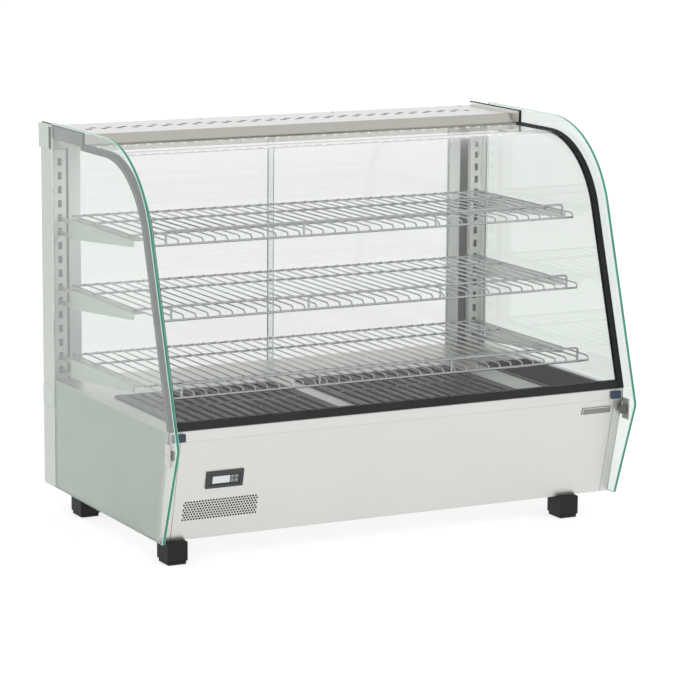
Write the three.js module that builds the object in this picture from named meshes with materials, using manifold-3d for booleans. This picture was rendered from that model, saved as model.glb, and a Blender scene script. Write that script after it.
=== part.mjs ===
// Countertop hot food display case: glazed heated cabinet on a stainless steel base, with rear sliding
// doors. Millimetres, +Z up, the front faces -Y. The origin is the centre of the footprint, on the table.
import * as THREE from 'three';
import { mergeVertices } from 'three/addons/utils/BufferGeometryUtils.js';
import Module from 'manifold-3d';

const wasm = await Module();
wasm.setup();

// ---- Driving dimensions ----
const WIDTH = 857;             // over the outer faces of the side glasses
const DEPTH = 570;             // knee of the side glasses to the back of the door tracks
const HEIGHT = 670;            // table to the top edge of the side glasses
const FOOT_HEIGHT = 38;        // table to the underside of the base and of the side glasses
const SHEET = 1.5;             // folded sheet steel
const GAP = 0.3;               // clearance between pieces that touch
const SIDE_GLASS = 6;
const FRONT_GLASS = 5;
const DOOR_GLASS = 5;

// ---- Side profile, in the Y-Z plane ----
const FRONT = -DEPTH / 2;
const REAR = DEPTH / 2;
const LEAN = THREE.MathUtils.degToRad(17.1);       // front edge above the knee, from vertical
const CHIN = THREE.MathUtils.degToRad(20);         // front edge below the knee, from vertical
const KNEE_RADIUS = 14;
const TOP_RADIUS = 191.5;
const KNEE = { y: FRONT + KNEE_RADIUS, z: 203 };
const CROWN = { y: 0, z: HEIGHT - TOP_RADIUS };
CROWN.y = KNEE.y + (TOP_RADIUS - KNEE_RADIUS + (CROWN.z - KNEE.z) * Math.sin(LEAN)) / Math.cos(LEAN);

// ---- Base ----
const BASE_FRONT = -208;       // lower front edge of the front panel
const SILL_FRONT = -250;       // face of the sill above the fold of the front panel
const FOLD_Z = 208;
const DECK_TOP = 227;          // floor of the display space
const LEDGE_Z = 177.7;         // ledge behind the deck that carries the lower door track
const RISER_Y = 239.5;         // rear face of the wall between deck and ledge
const BACK = 274;              // rear face of the base and of the posts
const SILL_LIP = 22;
const RETURN = 11;             // how far the ends of the front panel fold back along the side glasses

// ---- Rear frame and doors ----
const POST_FRONT = 225.6;
const POST_INNER = 411.5;      // half the clear width between the posts
const POST_TOP = 623.7;
const TRACK_FRONT = 240;
const LOWER_TRACK_REAR = 276;
const TRACK_Z = { lower: 178, lowerTop: 213, upper: 624, upperTop: 657.5 };
const GROOVE = { width: 9, lowerDepth: 15, upperDepth: 25 };
const DOOR_Y = { outer: 268, inner: 252 };
const DOOR_OVERLAP = 9;
const DOOR_Z = { bottom: 198.3, top: 640 };

// ---- Top ----
const ROOF_Z = 659.5;
const ROOF_FRONT = 134;        // where the roof folds down into the fascia
const FASCIA = { y: 104, z: 645 };
const END_PLATE_TOP = 666;

// ---- Front glass and its seals: distances in from the edge of the side glasses ----
const GLASS_INSET = 26;
const SEAL_LIP = 2.3;
const SEAL_WIDTH = 11;
const SEAL_TOP = 240;

// ---- Shelves ----
const SHELF_LEVELS = { top: 508, middle: 388, bottom: 268 };
const SHELF_FRONTS = { top: -120, middle: -139, bottom: -180 };
const SHELF_HALF = 396;
const SHELF_REAR = 214;
const WIRE_COUNT = 37;
const SLOT_PITCH = 24;
const HOOKS = { upper: 2, lower: 26 };       // below the level of a shelf, one slot pitch apart
const BRACKET_X = 405;
const BRACKET_FRONT = -76;
const BRACKET_REAR = 190;

const OUTER_X = WIDTH / 2;
const INNER_X = OUTER_X - SIDE_GLASS;              // inner face of a side glass
const LINER_X = INNER_X - GAP;                     // what stands against that face

// ---- Small helpers ----
const span = (side, a, b) => [side * a, side * b].sort((p, q) => p - q);

function box([x0, x1], [y0, y1], [z0, z1]) {
  const geometry = new THREE.BoxGeometry(x1 - x0, y1 - y0, z1 - z0);
  return geometry.translate((x0 + x1) / 2, (y0 + y1) / 2, (z0 + z1) / 2);
}

function polygon(points) {
  return new THREE.Shape(points.map(([a, b]) => new THREE.Vector2(a, b)));
}

function extrude(shape, length, curveSegments) {
  return new THREE.ExtrudeGeometry(shape, { depth: length, bevelEnabled: false, curveSegments });
}

// A Y-Z outline drawn out along X.
function alongX(shape, [x0, x1], curveSegments = 8) {
  const turn = new THREE.Matrix4().makeBasis(
    new THREE.Vector3(0, 1, 0), new THREE.Vector3(0, 0, 1), new THREE.Vector3(1, 0, 0));
  return extrude(shape, x1 - x0, curveSegments).applyMatrix4(turn).translate(x0, 0, 0);
}

// An X-Y outline drawn out along Z.
function alongZ(shape, [z0, z1], curveSegments = 8) {
  return extrude(shape, z1 - z0, curveSegments).translate(0, 0, z0);
}

function rod(radius, length, sides = 16) {
  return new THREE.CylinderGeometry(radius, radius, length, sides);
}

function rodAlongX(radius, [x0, x1], y, z, sides) {
  return rod(radius, x1 - x0, sides).rotateZ(Math.PI / 2).translate((x0 + x1) / 2, y, z);
}

function rodAlongY(radius, [y0, y1], x, z, sides) {
  return rod(radius, y1 - y0, sides).translate(x, (y0 + y1) / 2, z);
}

// ---- Joining and cutting ----
function toSolid(piece) {
  if (!(piece instanceof THREE.BufferGeometry)) return piece;
  const bare = piece.clone();
  bare.deleteAttribute('normal');
  bare.deleteAttribute('uv');
  const merged = mergeVertices(bare, 1e-4);
  return new wasm.Manifold(new wasm.Mesh({
    numProp: 3,
    vertProperties: new Float32Array(merged.attributes.position.array),
    triVerts: new Uint32Array(merged.index.array),
  }));
}

function toGeometry(solid) {
  if (solid instanceof THREE.BufferGeometry) return solid;
  const { vertProperties, triVerts } = solid.getMesh();
  const geometry = new THREE.BufferGeometry();
  geometry.setAttribute('position', new THREE.BufferAttribute(vertProperties, 3));
  geometry.setIndex(new THREE.BufferAttribute(triVerts, 1));
  return geometry;
}

const join = (...pieces) => pieces.map(toSolid).reduce((sum, piece) => sum.add(piece));
const cut = (piece, ...tools) => tools.map(toSolid).reduce((rest, tool) => rest.subtract(tool), toSolid(piece));

// ---- Materials ----
const FINISHES = {
  steel: { color: 0xcfd0cc, roughness: 0.35, metalness: 1 },
  chrome: { color: 0xd9dadb, roughness: 0.12, metalness: 1 },
  aluminium: { color: 0xb9bcbc, roughness: 0.4, metalness: 1 },
  glass: { color: 0xd5e8e0, roughness: 0.03, metalness: 0, transparent: true, opacity: 0.3 },
  rubber: { color: 0x151617, roughness: 0.7, metalness: 0 },
  blackPlastic: { color: 0x222324, roughness: 0.5, metalness: 0 },
  greyPlastic: { color: 0xb4bab4, roughness: 0.5, metalness: 0 },
  bluePlastic: { color: 0x1f3b4d, roughness: 0.5, metalness: 0 },
  blackSteel: { color: 0x3a3d3c, roughness: 0.45, metalness: 0.6 },
  display: { color: 0xdfe8ea, roughness: 0.1, metalness: 0 },
  lamp: { color: 0xf4efe2, roughness: 0.4, metalness: 0 },
};

const displayCase = new THREE.Group();

function add(name, piece, finish) {
  const mesh = new THREE.Mesh(toGeometry(piece), new THREE.MeshStandardMaterial(FINISHES[finish]));
  mesh.name = name;
  displayCase.add(mesh);
}

const SIDES = { left: -1, right: 1 };

// ---- Side profile ----
// Where the leaning front edge, moved in by inset, is at height z.
function frontY(z, inset) {
  return CROWN.y + ((z - CROWN.z) * Math.sin(LEAN) - (TOP_RADIUS - inset)) / Math.cos(LEAN);
}

// Curved band between two insets, from a level bottom edge to a square end under the roof.
function frontBand(outer, inner, bottom, end) {
  const shape = new THREE.Shape();
  shape.moveTo(frontY(bottom, inner), bottom);
  shape.lineTo(frontY(bottom, outer), bottom);
  shape.absarc(CROWN.y, CROWN.z, TOP_RADIUS - outer, Math.PI - LEAN, Math.PI / 2, true);
  shape.lineTo(end, HEIGHT - outer);
  shape.lineTo(end, HEIGHT - inner);
  shape.absarc(CROWN.y, CROWN.z, TOP_RADIUS - inner, Math.PI / 2, Math.PI - LEAN, false);
  return shape;
}

function sideGlassOutline() {
  const shape = new THREE.Shape();
  const rear = POST_FRONT - GAP;
  const drop = (KNEE.z - FOOT_HEIGHT) * Math.sin(CHIN) - KNEE_RADIUS;
  shape.moveTo(rear, FOOT_HEIGHT);
  shape.lineTo(rear, HEIGHT);
  shape.absarc(CROWN.y, CROWN.z, TOP_RADIUS, Math.PI / 2, Math.PI - LEAN, false);
  shape.absarc(KNEE.y, KNEE.z, KNEE_RADIUS, Math.PI - LEAN, Math.PI + CHIN, false);
  shape.lineTo(KNEE.y + drop / Math.cos(CHIN), FOOT_HEIGHT);
  return shape;
}

// ---- Base ----
const PANEL_SLOPE = (SILL_FRONT - BASE_FRONT) / (FOLD_Z - FOOT_HEIGHT);
const PANEL_TILT = Math.atan(-PANEL_SLOPE);
const panelY = (z) => BASE_FRONT + (z - FOOT_HEIGHT) * PANEL_SLOPE;

// Places a piece drawn with X to the right, Y up the front panel and Z out of it.
function onPanel(geometry, x, z) {
  return geometry.rotateX(Math.PI / 2 + PANEL_TILT).translate(x, panelY(z), z);
}

function baseTray() {
  const inner = SHEET + GAP;
  const behind = RETURN + GAP;
  const wall = polygon([
    [BASE_FRONT + behind, FOOT_HEIGHT], [SILL_FRONT + behind, FOLD_Z], [SILL_FRONT + behind, DECK_TOP - inner],
    [POST_FRONT - GAP, DECK_TOP - inner], [POST_FRONT - GAP, FOOT_HEIGHT],
  ]);
  const floor = [FOOT_HEIGHT, FOOT_HEIGHT + SHEET];
  const walls = Object.values(SIDES).map((side) => alongX(wall, span(side, LINER_X - SHEET, LINER_X)));
  return join(
    box([SHEET + GAP - LINER_X, LINER_X - SHEET - GAP], [BASE_FRONT + inner, BASE_FRONT + behind + 1], floor),
    box([-LINER_X, LINER_X], [BASE_FRONT + behind, POST_FRONT - GAP], floor),
    box([GAP - POST_INNER, POST_INNER - GAP], [POST_FRONT - 1, BACK - inner], floor),
    ...walls);
}

const CONTROLLER = { x: -321, z: 138.7, width: 66, height: 29.5, proud: 2.7, body: 60.4, bodyHeight: 22.8, depth: 30 };

function frontPanel() {
  const top = DECK_TOP - SHEET;
  const profile = polygon([
    [BASE_FRONT, FOOT_HEIGHT], [SILL_FRONT, FOLD_Z], [SILL_FRONT, DECK_TOP], [SILL_FRONT + SILL_LIP, DECK_TOP],
    [SILL_FRONT + SILL_LIP, top], [SILL_FRONT + SHEET, top], [SILL_FRONT + SHEET, FOLD_Z],
    [BASE_FRONT + SHEET, FOOT_HEIGHT],
  ]);
  const fold = polygon([
    [BASE_FRONT, FOOT_HEIGHT], [SILL_FRONT, FOLD_Z], [SILL_FRONT, top], [SILL_FRONT + RETURN, top],
    [SILL_FRONT + RETURN, FOLD_Z], [BASE_FRONT + RETURN, FOOT_HEIGHT],
  ]);
  const returns = Object.values(SIDES).map((side) => alongX(fold, span(side, LINER_X - SHEET, LINER_X)));
  const width = CONTROLLER.body + 2 * GAP;
  const height = CONTROLLER.bodyHeight + 2 * GAP;
  const hole = onPanel(new THREE.BoxGeometry(width, height, 10), CONTROLLER.x, CONTROLLER.z);
  return cut(join(alongX(profile, [-LINER_X, LINER_X]), ...returns), hole);
}

const SWITCHES = { x: [315, 345], z: 108, plate: [298, 362], plateZ: [92, 124], pivot: BACK + 1.8 };
const GLAND = { x: -330, z: 80, bore: 4.5, sleeve: 8, nut: 12 };

function rearPanel() {
  const profile = polygon([
    [BACK - SHEET, FOOT_HEIGHT], [BACK, FOOT_HEIGHT], [BACK, LEDGE_Z], [RISER_Y, LEDGE_Z],
    [RISER_Y, DECK_TOP - SHEET - GAP], [RISER_Y - SHEET, DECK_TOP - SHEET - GAP],
    [RISER_Y - SHEET, LEDGE_Z - SHEET], [BACK - SHEET, LEDGE_Z - SHEET],
  ]);
  const through = [BACK - 4, BACK + 2];
  return cut(
    alongX(profile, [GAP - POST_INNER, POST_INNER - GAP]),
    box([SWITCHES.plate[0] + 5, SWITCHES.plate[1] - 5], through, [SWITCHES.plateZ[0] + 3, SWITCHES.plateZ[1] - 3]),
    rodAlongY(GLAND.sleeve + GAP, through, GLAND.x, GLAND.z));
}

// Openings in the deck, left edge and right edge; the third one takes the water pan.
const FLOOR_BAYS = { left: [-384, -102], right: [-53, 237], pan: [308, 404] };
const BAY_Y = [-214, 40];
const BAY_RIM = 5;

function deck() {
  const sheet = [DECK_TOP - SHEET, DECK_TOP];
  const front = SILL_FRONT + SILL_LIP + GAP;
  const bays = Object.values(FLOOR_BAYS).map((bay) => box(bay, BAY_Y, [DECK_TOP - 5, DECK_TOP + 5]));
  const plate = join(
    box([-LINER_X, LINER_X], [front, POST_FRONT - GAP], sheet),
    box([GAP - POST_INNER, POST_INNER - GAP], [POST_FRONT - 1, RISER_Y - SHEET - GAP], sheet));
  return cut(plate, ...bays);
}

// Slotted plate that lies over a bay, with a skirt that drops into it.
function floorGrille([x0, x1]) {
  const slotCount = 13;
  const slotWidth = 9;
  const plateZ = [DECK_TOP + GAP, DECK_TOP + GAP + 3];
  const y = [BAY_Y[0] - BAY_RIM, BAY_Y[1] + BAY_RIM];
  const skirtZ = [DECK_TOP - 6, plateZ[0] + 1];
  const outerX = [x0 + 0.5, x1 - 0.5];
  const outerY = [BAY_Y[0] + 0.5, BAY_Y[1] - 0.5];
  const skirt = cut(
    box(outerX, outerY, skirtZ),
    box([outerX[0] + SHEET, outerX[1] - SHEET], [outerY[0] + SHEET, outerY[1] - SHEET], [skirtZ[0] - 1, skirtZ[1] + 1]));
  const pitch = (x1 - x0 - 14) / slotCount;
  const middle = (y[0] + y[1]) / 2;
  const rows = [[outerY[0] + 6, middle - 5], [middle + 5, outerY[1] - 6]];
  const slots = [];
  for (let i = 0; i < slotCount; i += 1) {
    const x = x0 + 7 + pitch * (i + 0.5);
    rows.forEach((row) => slots.push(box([x - slotWidth / 2, x + slotWidth / 2], row, [plateZ[0] - 1, plateZ[1] + 1])));
  }
  return join(cut(box([x0 - BAY_RIM, x1 + BAY_RIM], y, plateZ), ...slots), skirt);
}

const PAN_BOTTOM = 190;

function waterPan([x0, x1]) {
  const rimZ = [DECK_TOP + GAP, DECK_TOP + GAP + SHEET];
  const body = box([x0 + 1, x1 - 1], [BAY_Y[0] + 1, BAY_Y[1] - 1], [PAN_BOTTOM, rimZ[1]]);
  const hollow = box([x0 + 2.5, x1 - 2.5], [BAY_Y[0] + 2.5, BAY_Y[1] - 2.5], [PAN_BOTTOM + SHEET, rimZ[1] + 1]);
  const rim = box([x0 - BAY_RIM + 1, x1 + BAY_RIM - 1], [BAY_Y[0] - BAY_RIM, BAY_Y[1] + BAY_RIM], rimZ);
  return cut(join(body, rim), hollow);
}

function foot([x, y]) {
  const width = 36;
  const depth = 44;
  const step = 2;
  return join(
    box([x, x + width], [y, y + depth], [6, FOOT_HEIGHT - GAP]),
    box([x + step, x + width - step], [y + step, y + depth - step], [0, 7]));
}

// ---- Heating, below the deck ----
const FLOOR_TOP = FOOT_HEIGHT + SHEET + GAP;
const FAN = { x: 0, y: [150, 188], size: 119, bore: 56, motor: 19, hub: 22, blade: 53 };
FAN.z = FLOOR_TOP + FAN.size / 2;

// One bent tube: it rises from the floor, runs out and back in two loops, and drops to the floor again.
function heaterElement() {
  const radius = 4;
  const bend = 45;
  const level = 120;
  const reach = 330;
  const rows = [-135, -45, 45, 135].map((y) => y - 20);
  const path = new THREE.CurvePath();
  const point = (x, y, z = level) => new THREE.Vector3(x, y, z);
  const corner = (from, control, to) => path.add(new THREE.QuadraticBezierCurve3(from, control, to));
  const line = (from, to) => path.add(new THREE.LineCurve3(from, to));
  line(point(-reach, rows[0], FLOOR_TOP), point(-reach, rows[0], level - bend));
  corner(point(-reach, rows[0], level - bend), point(-reach, rows[0]), point(bend - reach, rows[0]));
  for (let i = 0; i < 3; i += 1) {
    const end = i % 2 === 0 ? 200 : -200;
    const start = i === 0 ? bend - reach : -end;
    line(point(start, rows[i]), point(end, rows[i]));
    const out = end + Math.sign(end) * 60;
    path.add(new THREE.CubicBezierCurve3(point(end, rows[i]), point(out, rows[i]), point(out, rows[i + 1]),
      point(end, rows[i + 1])));
  }
  line(point(200, rows[3]), point(reach - bend, rows[3]));
  corner(point(reach - bend, rows[3]), point(reach, rows[3]), point(reach, rows[3], level - bend));
  line(point(reach, rows[3], level - bend), point(reach, rows[3], FLOOR_TOP));
  const section = new THREE.Shape().absarc(0, 0, radius, 0, Math.PI * 2, false);
  return new THREE.ExtrudeGeometry(section, { steps: 72, curveSegments: 4, extrudePath: path });
}

function fanHousing() {
  const half = FAN.size / 2;
  const strut = 3;
  const back = [FAN.y[1] - 5, FAN.y[1]];
  const frame = cut(
    box([FAN.x - half, FAN.x + half], FAN.y, [FAN.z - half, FAN.z + half]),
    rodAlongY(FAN.bore, [FAN.y[0] - 1, FAN.y[1] + 1], FAN.x, FAN.z, 32));
  return join(
    frame,
    box([FAN.x - FAN.bore - 1, FAN.x + FAN.bore + 1], back, [FAN.z - strut, FAN.z + strut]),
    box([FAN.x - strut, FAN.x + strut], back, [FAN.z - FAN.bore - 1, FAN.z + FAN.bore + 1]),
    rodAlongY(FAN.motor, [FAN.y[0] + 20, FAN.y[1]], FAN.x, FAN.z, 20));
}

function fanRotor() {
  const blades = 5;
  const pitch = THREE.MathUtils.degToRad(60);
  const middle = FAN.y[0] + 11;
  const parts = [rodAlongY(FAN.hub, [FAN.y[0] + 2, FAN.y[0] + 19.5], FAN.x, FAN.z, 20)];
  for (let i = 0; i < blades; i += 1) {
    const blade = new THREE.BoxGeometry(26, 2, FAN.blade - FAN.hub + 4);
    blade.rotateZ(Math.PI / 2 - pitch).translate(0, 0, (FAN.blade + FAN.hub) / 2 - 2);
    parts.push(blade.rotateY((i * 2 * Math.PI) / blades).translate(FAN.x, middle, FAN.z));
  }
  return join(...parts);
}

// ---- Controls ----
const BUTTONS = { x: [13.4, 20.4], y: [3.5, -3.5], width: 5.8, height: 5.8, back: -1.5, front: 2.4 };

function controllerHousing() {
  const { width, height, proud, body, bodyHeight, depth } = CONTROLLER;
  const plate = new THREE.BoxGeometry(width, height, proud - GAP).translate(0, 0, (proud + GAP) / 2);
  const can = new THREE.BoxGeometry(body, bodyHeight, depth + 1).translate(0, 0, (1 - depth) / 2);
  const recess = new THREE.BoxGeometry(54, 18.6, 4).translate(0, 0, 3.2);
  const wells = BUTTONS.x.flatMap((x) => BUTTONS.y.map((y) =>
    new THREE.BoxGeometry(BUTTONS.width + 0.6, BUTTONS.height + 0.6, 8).translate(x, y, 0.5)));
  return onPanel(toGeometry(cut(join(plate, can), recess, ...wells)), CONTROLLER.x, CONTROLLER.z);
}

function controllerLens() {
  return onPanel(new THREE.BoxGeometry(31, 12.5, 0.9).translate(-6.5, 0, 1.95), CONTROLLER.x, CONTROLLER.z);
}

function controllerButton(x, y) {
  const { width, height, back, front } = BUTTONS;
  const cap = new THREE.BoxGeometry(width, height, front - back).translate(x, y, (front + back) / 2);
  return onPanel(cap, CONTROLLER.x, CONTROLLER.z);
}

function switchPlate() {
  const [x0, x1] = SWITCHES.plate;
  const holes = SWITCHES.x.map((x) =>
    box([x - 7.5, x + 7.5], [BACK - 2, BACK + 6], [SWITCHES.z - 11.8, SWITCHES.z + 11.8]));
  return cut(box([x0, x1], [BACK + GAP, BACK + 3.3], SWITCHES.plateZ), ...holes);
}

// Rocker with a hollowed face, inside an 11.3 mm circle around its pivot, at rest tipped to one side.
function rocker(x) {
  const rest = THREE.MathUtils.degToRad(9);
  const profile = polygon([[0, -11], [4.2, -10.2], [2.6, 0], [4.2, 10.2], [0, 11], [-7, 7], [-7, -7]]);
  return alongX(profile, [-6.8, 6.8]).rotateX(rest).translate(x, SWITCHES.pivot, SWITCHES.z);
}

function cableGland() {
  const { bore, sleeve, nut } = GLAND;
  const profile = [
    [bore, -11.5], [nut, -11.5], [nut, -SHEET - GAP], [sleeve, -SHEET - GAP], [sleeve, GAP], [nut, GAP],
    [nut, 7], [sleeve, 11], [bore, 11], [bore, -11.5],
  ].map(([r, y]) => new THREE.Vector2(r, y));
  return new THREE.LatheGeometry(profile, 16).translate(GLAND.x, BACK, GLAND.z);
}

// ---- Glazing ----
const FIXING = { y: -254, z: 190, stud: 3 };

function sideGlass(side) {
  const hole = rodAlongX(FIXING.stud + GAP, span(side, INNER_X - 1, OUTER_X + 1), FIXING.y, FIXING.z, 12);
  return cut(alongX(sideGlassOutline(), span(side, INNER_X, OUTER_X), 12), hole);
}

// Point fixing through the lower front corner of a side glass: outer pad in two halves, stud, inner pad.
function glassClamp(side) {
  const padY = [-263.5, -244.5];
  const face = OUTER_X + GAP;
  return join(
    box(span(side, face, face + 1.2), padY, [173, 209]),
    box(span(side, face + 1, face + 2), padY, [173, 190.5]),
    box(span(side, face + 1, face + 2), padY, [191.5, 209]),
    rodAlongX(FIXING.stud, span(side, LINER_X - 5, face + 1), FIXING.y, FIXING.z, 12),
    box(span(side, LINER_X - 5, LINER_X), [-262, -251], [183, 198]));
}

function frontGlass() {
  const half = LINER_X - SEAL_WIDTH + 2.8;
  const band = frontBand(GLASS_INSET, GLASS_INSET + FRONT_GLASS, DECK_TOP + 3.6, FASCIA.y - 1);
  return alongX(band, [-half, half], 12);
}

const GLASS_ROOM = [GLASS_INSET - GAP, GLASS_INSET + FRONT_GLASS + GAP];

function sideSeal(side) {
  const outer = frontBand(GLASS_INSET - SEAL_LIP, GLASS_INSET + FRONT_GLASS + SEAL_LIP, DECK_TOP + GAP, FASCIA.y - 0.5);
  const groove = frontBand(...GLASS_ROOM, DECK_TOP + 3.3, FASCIA.y + 5);
  const innerEdge = LINER_X - SEAL_WIDTH;
  return cut(
    alongX(outer, span(side, innerEdge, LINER_X), 12),
    alongX(groove, span(side, innerEdge - 1, innerEdge + 3.1), 12));
}

function bottomSeal() {
  const slice = (from, to, z0, z1) => polygon([
    [frontY(z0, from), z0], [frontY(z0, to), z0], [frontY(z1, to), z1], [frontY(z1, from), z1]]);
  const half = LINER_X - SEAL_WIDTH - GAP;
  const outer = slice(GLASS_INSET - SEAL_LIP, GLASS_INSET + FRONT_GLASS + SEAL_LIP, DECK_TOP + GAP, SEAL_TOP);
  const groove = slice(...GLASS_ROOM, DECK_TOP + 3.3, SEAL_TOP + 2);
  return cut(alongX(outer, [-half, half]), alongX(groove, [-half - 1, half + 1]));
}

function sillCorner(side) {
  return box(span(side, 398, 417), [SILL_FRONT - 4, SILL_FRONT - GAP], [FOLD_Z + 1.5, FOLD_Z + 14.5]);
}

// ---- Rear frame ----
function rearPost(side) {
  const web = OUTER_X - SHEET;
  const lip = INNER_X - 0.1;
  const flange = 250;
  const outline = [
    [OUTER_X, POST_FRONT], [OUTER_X, BACK], [POST_INNER, BACK], [POST_INNER, flange], [POST_INNER + SHEET, flange],
    [POST_INNER + SHEET, BACK - SHEET], [web, BACK - SHEET], [web, POST_FRONT + SHEET],
    [lip, POST_FRONT + SHEET], [lip, POST_FRONT],
  ].map(([x, y]) => [side * x, y]);
  const notch = box(span(side, INNER_X, OUTER_X + 1), [POST_FRONT - 1, BACK + 1],
    [TRACK_Z.lower - GAP, TRACK_Z.lowerTop + GAP]);
  return cut(alongZ(polygon(outline), [FOOT_HEIGHT, POST_TOP]), notch);
}

// Slotted channel in the mouth of a post: its face looks forward, its outer flange runs back into the post,
// and a fold beside the face closes the gap to the side glass.
const STANDARD = {
  x: [394.5, 417], face: 236, innerRear: 246.9, slot: [402.3, 409.7], slotHeight: 13, fold: { x: 421.9, y: 228 },
};

function shelfStandard(side) {
  const { x, face, innerRear, slot, slotHeight, fold } = STANDARD;
  const z = [DECK_TOP + GAP, POST_TOP];
  const slots = [];
  for (let level = SHELF_LEVELS.bottom - HOOKS.lower; level < POST_TOP - slotHeight; level += SLOT_PITCH) {
    slots.push(box(span(side, ...slot), [face - 1, face + SHEET + 1], [level - slotHeight / 2, level + slotHeight / 2]));
  }
  return join(
    cut(box(span(side, ...x), [face, face + SHEET], z), ...slots),
    box(span(side, x[0], x[0] + SHEET), [face, innerRear], z),
    box(span(side, x[1] - SHEET, x[1]), [fold.y, BACK - SHEET - GAP], z),
    box(span(side, x[1] - SHEET, fold.x), [fold.y, fold.y + SHEET], z));
}

function doorTrack(z0, z1, rear, grooveZ) {
  const x = [GAP - POST_INNER, POST_INNER - GAP];
  const grooves = Object.values(DOOR_Y).map((y) =>
    box([x[0] - 1, x[1] + 1], [y - GROOVE.width / 2, y + GROOVE.width / 2], grooveZ));
  return cut(box(x, [TRACK_FRONT, rear], [z0, z1]), ...grooves);
}

function lowerTrackCap(side) {
  const z = [TRACK_Z.lower, TRACK_Z.lowerTop];
  return join(
    box(span(side, INNER_X + GAP, OUTER_X), [POST_FRONT, LOWER_TRACK_REAR], z),
    box(span(side, POST_INNER, OUTER_X), [BACK + GAP, LOWER_TRACK_REAR], z));
}

function upperTrackCap(side) {
  return join(
    box(span(side, POST_INNER, OUTER_X), [POST_FRONT, REAR], [TRACK_Z.upper, TRACK_Z.upperTop]),
    box(span(side, INNER_X + GAP, OUTER_X), [POST_FRONT, REAR], [TRACK_Z.upper, END_PLATE_TOP]));
}

// ---- Roof ----
const ROOF_SLOTS = { rows: [226, 200], pitch: 22.2, length: 14, width: 4, reach: 372 };

function topPanel() {
  const lip = FASCIA.y + 18;
  const profile = polygon([
    [REAR, ROOF_Z], [ROOF_FRONT, ROOF_Z], [FASCIA.y, FASCIA.z], [lip, FASCIA.z], [lip, FASCIA.z + SHEET],
    [FASCIA.y + 6.5, FASCIA.z + SHEET], [ROOF_FRONT + 0.4, ROOF_Z - SHEET], [REAR, ROOF_Z - SHEET],
  ]);
  const endPlate = polygon([
    [FASCIA.y, FASCIA.z - 2], [POST_FRONT - GAP, FASCIA.z - 2], [POST_FRONT - GAP, TRACK_Z.upperTop + GAP],
    [REAR, TRACK_Z.upperTop + GAP], [REAR, END_PLATE_TOP], [FASCIA.y, END_PLATE_TOP],
  ]);
  const slots = [];
  ROOF_SLOTS.rows.forEach((y, row) => {
    const { pitch, length, width, reach } = ROOF_SLOTS;
    for (let x = -reach + (row * pitch) / 2; x <= reach; x += pitch) {
      slots.push(box([x - length / 2, x + length / 2], [y - width / 2, y + width / 2], [ROOF_Z - 4, ROOF_Z + 4]));
    }
  });
  const outer = LINER_X - GAP;
  const plates = Object.values(SIDES).map((side) => alongX(endPlate, span(side, outer - SHEET, outer)));
  return join(cut(alongX(profile, [0.5 - outer, outer - 0.5]), ...slots), ...plates);
}

function ledLamp() {
  return box([-395, 395], [FASCIA.y + 8, FASCIA.y + 28], [FASCIA.z - 11, FASCIA.z - 0.5]);
}

// ---- Shelves ----
// Tapered plate under the end of a shelf, with two arms hooked into slots of the standard.
function shelfBracket(side, level) {
  const thickness = 2;
  const top = level + 1;
  const web = polygon([[BRACKET_REAR, level - 33], [BRACKET_REAR, top], [BRACKET_FRONT, top],
    [BRACKET_FRONT, level - 7], [BRACKET_FRONT + 5, level - 10]]);
  const x = span(side, BRACKET_X, BRACKET_X + thickness);
  const arms = Object.values(HOOKS).map((drop) =>
    box(x, [BRACKET_REAR - 1, STANDARD.face + 5], [level - drop - 5, level - drop + 3]));
  const flange = box(span(side, 384, BRACKET_X + thickness), [BRACKET_FRONT, BRACKET_REAR], [level - 0.5, top]);
  return join(alongX(web, x), flange, ...arms);
}

function wireShelf(level, front) {
  const wire = 3.5;
  const bar = 4;
  const gridZ = [level + 1.3, level + 1.3 + wire];
  const across = [front - bar / 2, front + bar / 2];
  const pitch = (2 * SHELF_HALF - wire) / (WIRE_COUNT - 1);
  const holes = [];
  for (let i = 0; i < WIRE_COUNT - 1; i += 1) {
    const x0 = -SHELF_HALF + wire + i * pitch;
    holes.push(box([x0, x0 + pitch - wire], [across[1], SHELF_REAR - bar], [gridZ[0] - 1, gridZ[1] + 1]));
  }
  const grid = cut(box([-SHELF_HALF, SHELF_HALF], [across[0], SHELF_REAR], gridZ), ...holes);
  const railZ = [level + 18, level + 22];
  const lowZ = [level - 5, level - 1];
  const posts = [-1, -1 / 3, 1 / 3, 1].map((place) => {
    const x = place * 372.5;
    return box([x - bar / 2, x + bar / 2], across, [lowZ[0] + 1, railZ[1] - 1]);
  });
  const rail = box([-374.5, 374.5], across, railZ);
  const lowBar = box([-SHELF_HALF, SHELF_HALF], across, lowZ);
  return join(grid, rail, lowBar, ...posts);
}

// ---- Sliding doors ----
const PULL = { width: 54, flat: 22, thick: 8.4, recess: 0.8, z: [214, 623] };

function doorGlass(side, y) {
  const x = span(side, -DOOR_OVERLAP, POST_INNER - 4);
  return box(x, [y - DOOR_GLASS / 2, y + DOOR_GLASS / 2], [DOOR_Z.bottom, DOOR_Z.top]);
}

// Wide channel over the jamb edge of a door: a flat border, a shallow recess, and a grip along the border.
function doorPull(side, y) {
  const outer = POST_INNER - 0.8;
  const inner = outer - PULL.width;
  const half = PULL.thick / 2;
  const room = DOOR_GLASS / 2 + GAP;
  const past = [PULL.z[0] - 1, PULL.z[1] + 1];
  const recessX = span(side, inner + PULL.flat, outer - 3);
  return join(
    cut(
      box(span(side, inner, outer), [y - half, y + half], PULL.z),
      box(span(side, inner - 1, POST_INNER - 3.7), [y - room, y + room], past),
      box(recessX, [y - half - 1, y - half + PULL.recess], past),
      box(recessX, [y + half - PULL.recess, y + half + 1], past)),
    box(span(side, inner, inner + 3), [y + half - 1, y + half + 3.4], PULL.z));
}

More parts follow.
